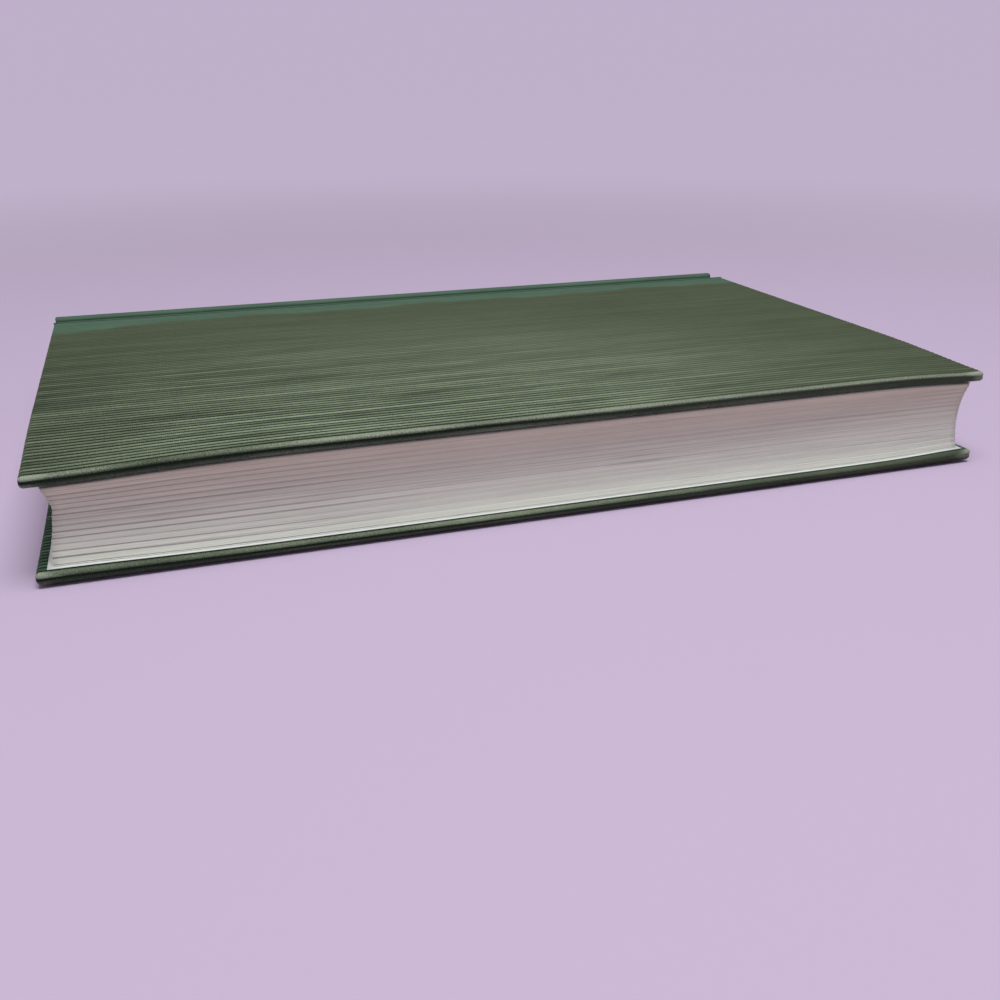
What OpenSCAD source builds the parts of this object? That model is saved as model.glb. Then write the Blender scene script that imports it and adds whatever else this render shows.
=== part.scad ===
// Hardback book: a case of two boards in corded cloth round a rounded and backed block of pages.
// It lies on its back cover. X runs from tail to head, Y from fore-edge to back, Z up.
// Outlines are drawn in Y and Z, with Y counted from the covers' fore-edge, and carried along X.

/* [Case] */
// Height of the covers from tail to head, over the cloth
case_l = 235; // [180:1:300]
// Width of each cover from the fore-edge to its joint, over the cloth
cover_w = 139.5; // [100:0.5:180]
// Thickness of the closed book, over the cloth of both covers
book_t = 26.2; // [18:0.1:40]
// Thickness of the bare millboard
board_t = 1.85; // [1.4:0.05:3]
// Rounding of the board's long edges and ends
board_round = 0.6; // [0.3:0.05:0.65]
// Rounding of the board's corners, seen from above
board_corner = 0.8; // [0.3:0.1:3]

/* [Cloth] */
// Thickness of the cloth in the furrows between its cords
cloth_t = 0.25; // [0.15:0.05:0.4]
// Height of the cords above the furrows
cord_h = 0.2; // [0.1:0.05:0.35]
// Distance from cord to cord
cord_pitch = 1.75; // [1.4:0.05:3.5]
// Share of the pitch that one flank of a cord takes
cord_flank = 0.16; // [0.08:0.02:0.3]
// Width of the cloth turned in over the boards' inner faces
turn_in = 15; // [8:1:25]
// Width of the slit where two turn-ins meet at a corner
mitre_gap = 0.15; // [0.1:0.05:0.3]
// Length of the cloth turned in at the head and tail of the back
back_turn_in = 12; // [6:1:20]

/* [Joint and back] */
// Distance from a cover's inner edge to the ridge of the back
joint_w = 9; // [7.5:0.1:12]
// Clearance between a cover and the cloth of its joint
joint_gap = 0.3; // [0.2:0.05:0.5]
// How far the ridge stays below the cover's outer face
ridge_drop = 0.15; // [0:0.05:0.8]
// Rounding of the block's ridges
ridge_r = 1; // [0.6:0.1:1.4]
// Radius of the hollow where the block's faces sweep up into the ridges
shoulder_r = 2.2; // [1.8:0.1:3]
// How far the round back stands out past the block's ridges
back_bulge = 4.8; // [3:0.1:6.5]
// Thickness of the mull, the gauze glued over the block's back
mull_t = 0.1; // [0.05:0.05:0.2]
// Thickness of the paper lining on the mull
lining_t = 0.2; // [0.1:0.05:0.4]
// Hollow between the lined block and the case's back
hollow = 0.5; // [0.45:0.05:1.2]
// Thickness of the card strip inside the case's back
inlay_t = 0.6; // [0.3:0.05:1]

/* [Text block] */
// Square at head and tail: how far the covers stand past the pages
square = 3.7; // [2:0.1:6]
// Square at the fore-edge, at the front face of the block
fore_square_front = 0.75; // [0.5:0.05:4]
// Square at the fore-edge, at the back face of the block
fore_square_back = 2.4; // [0.5:0.05:4]
// Depth of the hollow fore-edge
fore_hollow = 2.9; // [1:0.1:4.5]
// Number of gatherings sewn into the block
gatherings = 14; // [6:1:24]
// Depth of the furrow between two gatherings on the cut edges
furrow_d = 0.15; // [0.05:0.05:0.3]
// Half the width of that furrow
furrow_w = 0.1; // [0.05:0.05:0.2]

/* [Endpapers] */
// Thickness of the endpapers
paper_t = 0.12; // [0.1:0.02:0.3]
// Air between a pastedown and its flyleaf in the closed book
paper_gap = 0.1; // [0.05:0.05:0.3]
// Cloth left showing past the pastedown at head and tail
paste_square = 2.4; // [1.5:0.1:6]
// Cloth left showing past the pastedown at the fore-edge
paste_fore = 1.5; // [1.4:0.1:6]

/* [Head and tail bands] */
// Radius of the band's bead
band_r = 0.8; // [0.4:0.05:1.2]
// Thickness of the tape that carries the bead
band_tape_t = 0.15; // [0.1:0.05:0.2]
// Length of that tape down the block's back
band_tape_l = 7; // [3:0.5:10]
// How far each end of the band stays clear of the ridge
band_stop = 1; // [0.5:0.1:3]
// Thickness of the glue between that tape and the lining
glue_t = 0.02; // [0.02:0.01:0.1]

/* [Hidden] */

// Colours
cloth_colour = "#5c6850";
board_colour = "#a08c6c";
page_colour = "#dcd6c6";
endpaper_colour = "#eef0ee";
mull_colour = "#e4e0d2";
lining_colour = "#b89c70";
band_colour = "#c8c4a8";

// Layers, counted inwards from a cover's outer face
cloth_full = cloth_t + cord_h;
cover_t = board_t + 2 * cloth_full;
block_inset = cover_t + 2 * paper_t + paper_gap;
block_t = book_t - 2 * block_inset;
face_z = book_t - block_inset;
mid_z = book_t / 2;
block_l = case_l - 2 * square;

// Shoulder and ridge of the block: a hollow arc up from the face, then a round ridge
ridge_y = cover_w + joint_w;
ridge_z = book_t - ridge_drop - cloth_full - mull_t - ridge_r;
foot_z = face_z + shoulder_r;
foot_y = ridge_y - sqrt(pow(ridge_r + shoulder_r, 2) - pow(foot_z - ridge_z, 2));
shoulder_turn = acos((foot_z - ridge_z) / (ridge_r + shoulder_r));

// Round back of the block, an arc that leaves the two ridges smoothly
ridge_h = ridge_z - mid_z;
back_r = ridge_r + (ridge_h * ridge_h + back_bulge * back_bulge) / (2 * back_bulge);
back_y = ridge_y - sqrt(pow(back_r - ridge_r, 2) - ridge_h * ridge_h);
back_half = atan2(ridge_h, ridge_y - back_y);

// Round back of the case, concentric with the block's, and the arc that joins it to the ridge
case_r = back_r + mull_t + lining_t + hollow + inlay_t + cloth_full;
crest_z = book_t - ridge_drop;
crest_h = crest_z - mid_z;
crest_y = ridge_y - back_y;
cap_r = (case_r * case_r - crest_y * crest_y - crest_h * crest_h) / (2 * (case_r - crest_h));
case_half = atan2(crest_h - cap_r, crest_y);
case_depth = back_y + case_r;

// Hollow fore-edge, an arc through the front and back corners of the block
back_face_z = block_inset;
fore_lean = fore_square_back - fore_square_front;
fore_chord = norm([fore_lean, block_t]);
fore_r = (fore_chord * fore_chord / 4 + fore_hollow * fore_hollow) / (2 * fore_hollow);
fore_y = (fore_square_front + fore_square_back) / 2 - (fore_r - fore_hollow) * block_t / fore_chord;
fore_z = mid_z - (fore_r - fore_hollow) * fore_lean / fore_chord;

// Cords on a cover: whole cords over its flat faces, the rest of the width rounds the two edges
edge_r = board_round + cloth_full;
flat_cords = floor((cover_w - 2 * edge_r) / cord_pitch);
flat_start = (cover_w - flat_cords * cord_pitch) / 2;
edge_flat = flat_start - edge_r;
edge_path = [[edge_flat, 0], [PI / 2 * (edge_r - cord_h), -90], [board_t - 2 * board_round, 0],
    [PI / 2 * (edge_r - cord_h), -90], [edge_flat, 0]];
edge_l = path_length(edge_path);
edge_cords = max(2, round(edge_l / cord_pitch));

// Steps that round stretches are drawn with
arc_step = 3;
corner_steps = 5;
slack = 1;

// A path is a list of pieces [length, turn to the left in degrees], walked from a place [y, z, heading].
function path_length(path, i = 0) = i == len(path) ? 0 : path[i][0] + path_length(path, i + 1);

function step_on(at, piece, s) =
    piece[1] == 0
    ? [at[0] + s * cos(at[2]), at[1] + s * sin(at[2]), at[2]]
    : let (radius = piece[0] / piece[1] * 180 / PI, heading = at[2] + piece[1] * s / piece[0])
      [at[0] + radius * (sin(heading) - sin(at[2])), at[1] - radius * (cos(heading) - cos(at[2])), heading];

function walk(at, path, s, i = 0) =
    i == len(path) - 1 || s <= path[i][0]
    ? step_on(at, path[i], s)
    : walk(step_on(at, path[i], path[i][0]), path, s - path[i][0], i + 1);

// The point that stands h to the left of the path, s along it
function beside(at, path, s, h) = let (p = walk(at, path, s)) [p[0] - h * sin(p[2]), p[1] + h * cos(p[2])];

// Distances along a path at which a smooth outline takes a point: the ends of its pieces, and steps round its arcs
function stops(path, i = 0, s = 0) =
    i == len(path)
    ? [s]
    : let (n = max(1, ceil(abs(path[i][1]) / arc_step)))
      concat([for (k = [0 : n - 1]) s + path[i][0] * k / n], stops(path, i + 1, s + path[i][0]));

// Corded outline: [distance, height] for n cords over a length, each a furrow, two flanks and a crest
function cords(length, n, crest) =
    [for (i = [0 : n - 1]) each [
        [i * length / n, 0],
        for (k = [0 : crest]) [(i + cord_flank + (1 - 2 * cord_flank) * k / crest) * length / n, cord_h]]];

// Points of a strip that follows a path, from height low to height high
function strip(at, path, low, high) = concat(
    [for (s = stops(path)) beside(at, path, s, high)],
    [for (s = reverse(stops(path))) beside(at, path, s, low)]);

function reverse(list) = [for (i = [len(list) - 1 : -1 : 0]) list[i]];

// The middle of a path: its pieces between two indices, and the place where they begin
function part_of(path, first, last) = [for (i = [first : last]) path[i]];
function place_of(at, path, first) = walk(at, path, path_length(part_of(path, 0, first - 1)));

// The block's back from joint to joint: face, shoulder, ridge, round back, ridge, shoulder, face
joint_y = cover_w + joint_gap;
shoulder = [shoulder_r * shoulder_turn * PI / 180, shoulder_turn];
ridge_rise = [ridge_r * shoulder_turn * PI / 180, -shoulder_turn];
ridge_fall = [ridge_r * (90 - back_half) * PI / 180, back_half - 90];
round_back = [back_r * 2 * back_half * PI / 180, -2 * back_half];
block_path = [[foot_y - joint_y, 0], shoulder, ridge_rise, ridge_fall, round_back, ridge_fall, ridge_rise, shoulder,
    [foot_y - joint_y, 0]];
block_start = [joint_y, face_z, 0];
round_start = place_of(block_start, block_path, 4);

// The inner face of the case's back: it lies on the mull in the joints, and clears the lined back by the hollow
cap_turn = 90 - case_half;
case_shoulder = [(shoulder_r - mull_t) * shoulder_turn * PI / 180, shoulder_turn];
case_ridge = [(ridge_r + mull_t) * shoulder_turn * PI / 180, -shoulder_turn];
case_cap = [(cap_r - cloth_full) * cap_turn * PI / 180, -cap_turn];
case_back = [(case_r - cloth_full) * 2 * case_half * PI / 180, -2 * case_half];
case_path = [[foot_y - joint_y, 0], case_shoulder, case_ridge, case_cap, case_back, case_cap, case_ridge,
    case_shoulder, [foot_y - joint_y, 0]];
case_start = [joint_y, face_z + mull_t, 0];
inlay_start = place_of(case_start, case_path, 4);

// Puts the middle of the book's depth at Y = 0
module seated() {
    translate([0, -case_depth / 2, 0]) children();
}

// Turns a piece of the front cover into the same piece of the back cover
module back_side() {
    translate([0, 0, book_t]) mirror([0, 0, 1]) children();
}

// Carries an outline drawn in Y and Z along X, and one drawn in X and Z along Y
module along_x(length) {
    rotate([90, 0, 90]) linear_extrude(length, center = true) children();
}

module along_y(length) {
    rotate([90, 0, 0]) linear_extrude(length, center = true) children();
}

// Rectangle between two corners with round corners
module rounded(low, high, r) {
    corners = [[high[0] - r, high[1] - r, 0], [low[0] + r, high[1] - r, 90],
        [low[0] + r, low[1] + r, 180], [high[0] - r, low[1] + r, 270]];
    polygon([for (c = corners) for (k = [0 : corner_steps])
        [c[0] + r * cos(c[2] + 90 * k / corner_steps), c[1] + r * sin(c[2] + 90 * k / corner_steps)]]);
}

// Front board: its three outlines meet in a slab with soft edges
module bare_board() {
    e = cloth_full;
    low_z = book_t - cover_t + e;
    half_l = case_l / 2 - e;
    intersection() {
        along_x(case_l) rounded([e, low_z], [cover_w - e, book_t - e], board_round);
        translate([0, cover_w / 2, 0])
            along_y(cover_w) rounded([-half_l, low_z], [half_l, book_t - e], board_round);
        translate([0, 0, low_z - slack])
            linear_extrude(board_t + 2 * slack) rounded([-half_l, e], [half_l, cover_w - e], board_corner);
    }
}

// Corded outline of a cover in Y and Z: inner face, fore-edge, outer face and joint edge
module cover_section() {
    flat = [[flat_cords * cord_pitch, 0]];
    flat_marks = cords(flat_cords * cord_pitch, flat_cords, 1);
    edge_marks = cords(edge_l, edge_cords, 4);
    low = book_t - cover_t + cord_h;
    high = book_t - cord_h;
    polygon(concat(
        [for (m = flat_marks) beside([cover_w - flat_start, low, 180], flat, m[0], m[1])],
        [for (m = edge_marks) beside([flat_start, low, 180], edge_path, m[0], m[1])],
        [for (m = flat_marks) beside([flat_start, high, 0], flat, m[0], m[1])],
        [for (m = edge_marks) beside([cover_w - flat_start, high, 0], edge_path, m[0], m[1])]));
}

// Outline of a cover from above: the cords reach the head and tail and turn down over them
module cover_plan() {
    half_l = case_l / 2 - cord_h;
    corner_r = board_corner + cloth_full;
    marks = concat(cords(flat_cords * cord_pitch, flat_cords, 1), [[flat_cords * cord_pitch, 0]]);
    intersection() {
        rounded([-case_l / 2, 0], [case_l / 2, cover_w], corner_r);
        polygon(concat(
            [[-half_l, -slack]],
            [[half_l, -slack]],
            [for (m = marks) [half_l + m[1], flat_start + m[0]]],
            [[half_l, cover_w + slack]],
            [[-half_l, cover_w + slack]],
            [for (m = reverse(marks)) [-half_l - m[1], flat_start + m[0]]]));
    }
}

// Cloth of the front cover: a corded skin round the board, open where its inner face isn't turned in
module cover_cloth() {
    low_z = book_t - cover_t;
    window_l = case_l - 2 * turn_in;
    difference() {
        intersection() {
            along_x(case_l) cover_section();
            translate([0, cover_w / 2, 0])
                along_y(cover_w + slack) rounded([-case_l / 2, low_z], [case_l / 2, book_t], edge_r);
            translate([0, 0, low_z - slack]) linear_extrude(cover_t + 2 * slack) cover_plan();
        }
        bare_board();
        translate([-window_l / 2, turn_in, low_z - slack]) cube([window_l, cover_w, slack + cloth_full]);
        for (side = [-1, 1])
            translate([side * (case_l / 2 - edge_r), edge_r, low_z - slack])
                rotate(side > 0 ? 135 : 45)
                    translate([0, -mitre_gap / 2, 0])
                        cube([(turn_in - edge_r) * sqrt(2), mitre_gap, slack + cord_h]);
    }
}

// Pastedown of the front cover: a sheet over the turn-ins that drops onto the bare board between them
module pastedown() {
    low_z = book_t - cover_t - paper_t;
    sheet_l = case_l - 2 * paste_square;
    sheet_w = cover_w - edge_r - paste_fore;
    window_l = case_l - 2 * turn_in;
    window_w = cover_w - edge_r - turn_in;
    difference() {
        union() {
            translate([-sheet_l / 2, paste_fore, low_z]) cube([sheet_l, sheet_w, paper_t]);
            translate([-window_l / 2, turn_in, low_z]) cube([window_l, window_w, paper_t + cloth_full]);
        }
        translate([-window_l / 2 + paper_t, turn_in + paper_t, low_z - slack])
            cube([window_l - 2 * paper_t, window_w, slack + cloth_full]);
    }
}

// Flyleaf of the front cover, flat on the block as far as the joint
module flyleaf(fore_square) {
    translate([-block_l / 2, fore_square, face_z]) cube([block_l, cover_w - edge_r - fore_square, paper_t]);
}

// Corded cloth of the back, with both joints, turned in over the inlay at head and tail
module back_cloth() {
    length = path_length(case_path);
    n = round(length / cord_pitch);
    marks = concat(cords(length, n, 4), [[length, 0]]);
    inner = -inlay_t - cloth_t;
    along_x(case_l)
        polygon(concat(
            [for (m = marks) beside(case_start, case_path, m[0], cloth_t + m[1])],
            [for (s = reverse(stops(case_path))) beside(case_start, case_path, s, 0)]));
    for (side = [-1, 1]) {
        translate([side * (case_l - cloth_t) / 2, 0, 0])
            along_x(cloth_t) polygon(strip(inlay_start, [case_back], inner, cloth_t));
        translate([side * (case_l - back_turn_in) / 2, 0, 0])
            along_x(back_turn_in) polygon(strip(inlay_start, [case_back], inner, -inlay_t));
    }
}

// Card strip under the cloth of the back, over its round part
module inlay() {
    along_x(case_l - 2 * cloth_t) polygon(strip(inlay_start, [case_back], -inlay_t, 0));
}

// The fore-edge arc at height z
function fore_at(z) = fore_y + sqrt(fore_r * fore_r - pow(z - fore_z, 2));

// Heights of the furrows between gatherings, from the back of the block to its front
furrows = [for (k = [1 : gatherings - 1]) back_face_z + block_t * k / gatherings];

// Section of the block: round back between two ridges, flat faces, hollow fore-edge with its furrows
module block_section() {
    half_pitch = block_t / gatherings / 2;
    polygon(concat(
        [for (s = stops(block_path)) beside(block_start, block_path, s, 0)],
        [[fore_at(back_face_z), back_face_z]],
        [for (z = furrows) each [
            [fore_at(z - half_pitch), z - half_pitch],
            [fore_at(z - furrow_w), z - furrow_w],
            [fore_at(z) + furrow_d, z],
            [fore_at(z + furrow_w), z + furrow_w]]],
        [[fore_at(face_z - half_pitch), face_z - half_pitch]],
        [[fore_at(face_z), face_z]]));
}

// Side view of the block: the furrows run on over the cut head and tail
module block_ends() {
    polygon(concat(
        [[block_l / 2, -slack]],
        [for (z = furrows) each [
            [block_l / 2, z - furrow_w],
            [block_l / 2 - furrow_d, z],
            [block_l / 2, z + furrow_w]]],
        [[block_l / 2, book_t + slack]],
        [[-block_l / 2, book_t + slack]],
        [for (z = reverse(furrows)) each [
            [-block_l / 2, z + furrow_w],
            [-block_l / 2 + furrow_d, z],
            [-block_l / 2, z - furrow_w]]],
        [[-block_l / 2, -slack]]));
}

// Band at the head: a bead round the back of the block, on a tape glued down over the lining
module band() {
    tape_low = mull_t + lining_t + glue_t;
    tape_high = tape_low + band_tape_t;
    bead_path_r = back_r + tape_low + band_tape_t / 2 - band_r;
    turn = 2 * back_half - 2 * band_stop / back_r * 180 / PI;
    tape_start = walk(round_start, [round_back], band_stop);
    tape = [back_r * turn * PI / 180, -turn];
    translate([block_l / 2 + band_r, back_y, mid_z])
        rotate([0, 90, 0])
            rotate([0, 0, 90 - turn / 2])
                rotate_extrude(angle = turn, $fn = 120)
                    translate([bead_path_r, 0]) circle(band_r, $fn = 24);
    translate([block_l / 2 + (band_r - band_tape_l) / 2, 0, 0])
        along_x(band_r + band_tape_l) polygon(strip(tape_start, [tape], tape_low, tape_high));
}

module front_board() {
    color(board_colour) seated() bare_board();
}

module back_board() {
    color(board_colour) seated() back_side() bare_board();
}

module front_cover_cloth() {
    color(cloth_colour) seated() cover_cloth();
}

module back_cover_cloth() {
    color(cloth_colour) seated() back_side() cover_cloth();
}

module spine_cloth() {
    color(cloth_colour) seated() back_cloth();
}

module spine_inlay() {
    color(board_colour) seated() inlay();
}

module text_block() {
    color(page_colour) seated() intersection() {
        along_x(block_l) block_section();
        translate([0, case_depth / 2, 0]) along_y(case_depth) block_ends();
    }
}

module mull() {
    color(mull_colour) seated() along_x(block_l) polygon(strip(block_start, block_path, 0, mull_t));
}

module spine_lining() {
    color(lining_colour) seated() along_x(block_l)
        polygon(strip(round_start, [round_back], mull_t, mull_t + lining_t));
}

module head_band() {
    color(band_colour) seated() band();
}

module tail_band() {
    color(band_colour) seated() mirror([1, 0, 0]) band();
}

module front_pastedown() {
    color(endpaper_colour) seated() pastedown();
}

module back_pastedown() {
    color(endpaper_colour) seated() back_side() pastedown();
}

module front_flyleaf() {
    color(endpaper_colour) seated() flyleaf(fore_square_front);
}

module back_flyleaf() {
    color(endpaper_colour) seated() back_side() flyleaf(fore_square_back);
}

front_board();
back_board();
front_cover_cloth();
back_cover_cloth();
spine_cloth();
spine_inlay();
text_block();
mull();
spine_lining();
head_band();
tail_band();
front_pastedown();
back_pastedown();
front_flyleaf();
back_flyleaf();
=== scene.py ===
# %% [markdown]
# A cloth-bound hardback book that lies on its back cover.
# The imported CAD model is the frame: it gives every size and place, and the pieces made here
# only take over where cloth, paper and thread need more detail than a solid model carries.
import math

import bmesh
import bpy
import numpy as np
from mathutils import Matrix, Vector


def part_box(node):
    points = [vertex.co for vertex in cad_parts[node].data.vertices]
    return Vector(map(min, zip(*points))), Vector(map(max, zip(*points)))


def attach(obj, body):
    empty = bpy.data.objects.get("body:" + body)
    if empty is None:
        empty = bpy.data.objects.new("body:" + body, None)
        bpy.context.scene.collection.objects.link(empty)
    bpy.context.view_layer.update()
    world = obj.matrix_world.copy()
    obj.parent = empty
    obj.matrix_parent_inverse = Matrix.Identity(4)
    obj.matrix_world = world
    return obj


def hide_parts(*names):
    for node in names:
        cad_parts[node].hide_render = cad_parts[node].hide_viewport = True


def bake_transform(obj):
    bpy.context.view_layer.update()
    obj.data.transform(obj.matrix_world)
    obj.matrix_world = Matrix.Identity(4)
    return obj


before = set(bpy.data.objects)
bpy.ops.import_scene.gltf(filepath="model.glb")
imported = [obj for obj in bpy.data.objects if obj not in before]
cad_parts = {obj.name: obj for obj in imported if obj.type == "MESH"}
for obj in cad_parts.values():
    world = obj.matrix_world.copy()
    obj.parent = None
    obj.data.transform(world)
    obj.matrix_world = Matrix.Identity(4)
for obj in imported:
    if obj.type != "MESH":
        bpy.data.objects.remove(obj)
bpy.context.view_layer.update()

print("CAD nodes:", ", ".join(sorted(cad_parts)))

# %% [markdown]
# Sizes come from the frame. The lesson counts in millimetres: X from tail to head, Y from the
# fore-edge of the covers towards the back, Z up from the table. One function, seat, puts such
# points into Blender's metres, where the middle of the book's depth is at Y = 0.

# %% Sizes of the case and the block
MM = 0.001
cover_low, cover_high = (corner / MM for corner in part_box("front_cover_cloth"))
leaf_low, leaf_high = (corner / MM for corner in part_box("front_flyleaf"))
under_low, under_high = (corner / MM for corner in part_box("back_flyleaf"))
back_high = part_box("spine_cloth")[1] / MM
block_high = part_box("text_block")[1] / MM

case_l = 2 * cover_high.x
cover_w = cover_high.y - cover_low.y
cover_t = cover_high.z - cover_low.z
book_t = cover_high.z
case_depth = back_high.y - cover_low.y
block_l = 2 * block_high.x
face_z = leaf_low.z
back_face_z = under_high.z
block_t = face_z - back_face_z
mid_z = book_t / 2
fore_front = leaf_low.y - cover_low.y
fore_back = under_low.y - cover_low.y
leaf_end = leaf_high.y - cover_low.y
print(f"case {case_l:.1f} x {case_depth:.2f} x {book_t:.1f} mm, block {block_l:.1f} x {block_t:.2f} mm")

# %% Sizes of the cloth and the back, as the solids have them
cloth_t = 0.25
cord_h = 0.2
cord_pitch = 1.75
board_round = 0.6
board_t = 1.85
turn_in = 15.0
joint_w = 9.0
ridge_r = 1.0
shoulder_r = 2.2
back_bulge = 4.8
mull_t = 0.1
lining_t = 0.2
inlay_t = 0.6
fore_hollow = 2.9
gatherings = 14
band_r = 0.8
cloth_full = cloth_t + cord_h
edge_r = board_round + cloth_full


def seat(points):
    """Millimetres of the lesson to metres of the frame: Y is moved by the covers' fore-edge, then all is scaled."""
    return (points + np.array([0.0, cover_low.y, 0.0])) * MM


# %% [markdown]
# A book that has stood and lain about is never quite square. Here the four corners at the
# fore-edge have been knocked: the upper cover is bent down there and the lower leaves are bent
# up over a board that has swollen, and the lower cover's edge has lifted off the table a
# little. One function moves every piece alike, so that no sheet cuts through its neighbour.

# %% Knocked corners
shift_heights = [0, back_face_z, mid_z, face_z, book_t]
tail_shift = [0, 0.75, 0, -1.35, -1.35]
head_shift = [0, 0.9, 0, -0.9, -0.9]
edge_lift = [0.65, 0.1, 0, 0, 0]


def knock_corners(points):
    """Height is moved by a shift read from a table for that height, times exp(-(x distance / reach)^2 - (y / 22)^2)
    from each corner, reach 29 mm at the tail and 17 at the head, and by a lift times exp(-(y / 9)^2)."""
    x, y, z = np.asarray(points, float).T
    off_tail = np.exp(-((x + case_l / 2) / 29) ** 2 - (y / 22) ** 2)
    off_head = np.exp(-((x - case_l / 2) / 17) ** 2 - (y / 22) ** 2)
    moved = off_tail * np.interp(z, shift_heights, tail_shift) + off_head * np.interp(z, shift_heights, head_shift)
    lifted = np.exp(-(y / 9) ** 2) * np.interp(z, shift_heights, edge_lift)
    return np.stack([x, y, z + moved + lifted], axis=-1)


print("corners bent by", tail_shift[3], "and", head_shift[3], "mm")

# %% [markdown]
# The camera stands where the photographer stood: a little above the near edge, turned to the
# right, close enough for the near corners to spread towards the frame's sides.

# %% Camera
camera_place = (-0.088, -0.29279, 0.09918)
camera_turn = 18.34
camera_pitch = 22.22
camera_roll = -0.25
camera_lens = 37.99

camera_data = bpy.data.cameras.new("camera")
camera_data.sensor_width = 36
camera_data.lens = camera_lens
camera_data.clip_start = 0.01
camera = bpy.data.objects.new("camera", camera_data)
camera.matrix_world = (
    Matrix.Translation(camera_place)
    @ Matrix.Rotation(math.radians(-camera_turn), 4, "Z")
    @ Matrix.Rotation(math.radians(90 - camera_pitch), 4, "X")
    @ Matrix.Rotation(math.radians(camera_roll), 4, "Z")
)
bpy.context.scene.collection.objects.link(camera)
bpy.context.scene.camera = camera
print("camera at", [round(v, 3) for v in camera_place])

# %% [markdown]
# Every new piece is a grid of points worked out with numpy. A grid has rows and columns, its
# faces are the quads between neighbours, and a closed grid joins its last column to its first.
# The mesh also carries a map in millimetres, so that a weave can follow the cloth round an
# edge, and a few named marks such as wear, which the materials read.

# %% Grids and meshes
def quads(rows, columns, closed=False):
    """Faces of a grid that is stored row after row: (r, c), (r, c+1), (r+1, c+1), (r+1, c)."""
    across = columns if closed else columns - 1
    r, c = np.meshgrid(np.arange(rows - 1), np.arange(across), indexing="ij")
    after = (c + 1) % columns
    corners = [r * columns + c, r * columns + after, (r + 1) * columns + after, (r + 1) * columns + c]
    return np.stack(corners, axis=-1).reshape(-1, 4)


def make_piece(name, points, faces, place=None, **marks):
    """A mesh from points in millimetres and quads: corners are knocked, doubles merged, faces turned outwards."""
    mesh = bpy.data.meshes.new(name)
    mesh.from_pydata(seat(knock_corners(points)), [], faces)
    corner = np.empty(len(mesh.loops), np.int32)
    mesh.loops.foreach_get("vertex_index", corner)
    if place is not None:
        layer = mesh.uv_layers.new(name="cloth_place")
        layer.data.foreach_set("uv", place[corner].astype(np.float32).ravel())
    for mark, values in marks.items():
        attribute = mesh.attributes.new(mark, "FLOAT", "POINT")
        attribute.data.foreach_set("value", np.asarray(values, np.float32))
    work = bmesh.new()
    work.from_mesh(mesh)
    bmesh.ops.remove_doubles(work, verts=work.verts, dist=1e-6)
    bmesh.ops.recalc_face_normals(work, faces=work.faces)
    work.to_mesh(mesh)
    work.free()
    mesh.polygons.foreach_set("use_smooth", np.ones(len(mesh.polygons), bool))
    piece = bpy.data.objects.new(name, mesh)
    bpy.context.scene.collection.objects.link(piece)
    print(f"{name}: {len(mesh.vertices)} points, {len(mesh.polygons)} faces")
    return piece


def smooth_step(t):
    """Eases from 0 to 1: 3t^2 - 2t^3 between 0 and 1, flat outside."""
    t = np.clip(t, 0, 1)
    return t * t * (3 - 2 * t)


# %% [markdown]
# Sections of the book are paths of straight runs and arcs, walked from one end to the other,
# as a binder would lay a strip of paper round the back. A path is a list of pieces, each with
# a length and a turn, and trace gives the place and the heading at any distance along it.

# %% Paths
def arc(radius, turn):
    """A piece of path: an arc of this radius that turns by so many degrees, left being positive."""
    return (radius * abs(math.radians(turn)), turn)


def trace(start, path, distance):
    """Places (y, z, heading) along a path: a run goes on in its heading, an arc turns evenly with distance."""
    distance = np.asarray(distance, float)
    places = np.zeros((len(distance), 3))
    y, z, heading = start[0], start[1], math.radians(start[2])
    begun = 0.0
    for length, turn in path:
        here = distance >= begun - 1e-9
        along = np.append(np.clip(distance[here] - begun, 0, length), length)
        angle = heading + math.radians(turn) * along / length
        if turn == 0:
            part_y, part_z = y + along * math.cos(heading), z + along * math.sin(heading)
        else:
            radius = length / math.radians(turn)
            part_y = y + radius * (np.sin(angle) - math.sin(heading))
            part_z = z - radius * (np.cos(angle) - math.cos(heading))
        places[here] = np.stack([part_y, part_z, angle], axis=-1)[:-1]
        y, z, heading = part_y[-1], part_z[-1], angle[-1]
        begun += length
    return places


def path_length(path):
    return sum(length for length, turn in path)


# %% [markdown]
# The cloth is woven in cords: thick threads lie side by side and the thin ones bind them
# together, so the surface is a row of soft rolls with a sharp furrow between each pair. A real
# cord is a little thicker or thinner than the next one, which is what makes some furrows dark.

# %% Cords
cord_stations = np.array([0.0, 0.07, 0.2, 0.38, 0.62, 0.8, 0.93])
random_cords = np.random.default_rng(7)


def cord_roll(t):
    """Height of a cord across its width, from 0 in a furrow to 1 on the crest: |sin(pi t)| ^ 0.55."""
    return np.abs(np.sin(np.pi * t)) ** 0.55


def lay_cords(count, width):
    """Distances and heights for count cords of this width, seven stations to a cord, and each cord's lot, a random
    number from 0 to 1 that the dye follows."""
    number = np.repeat(np.arange(count), len(cord_stations))
    t = np.tile(cord_stations, count)
    fullness = random_cords.uniform(0.8, 1.0, count)
    lot = random_cords.uniform(0, 1, count)
    return (number + t) * width, cord_roll(t) * fullness[number], lot[number]


print("stations across a cord:", len(cord_stations))

# %% [markdown]
# The cloth of a cover is one sheet pulled over the board. Think of the bare core of the board,
# a thin block, with a ball rolled all over it: the ball's far side draws the cloth, round over
# the edges and rounder still at the corners. The cords run from tail to head on the outer face,
# two more lie round the fore-edge, and all of them turn down over the head and the tail.
# A smaller ball on the same core draws the board inside, so both share one section.

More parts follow.
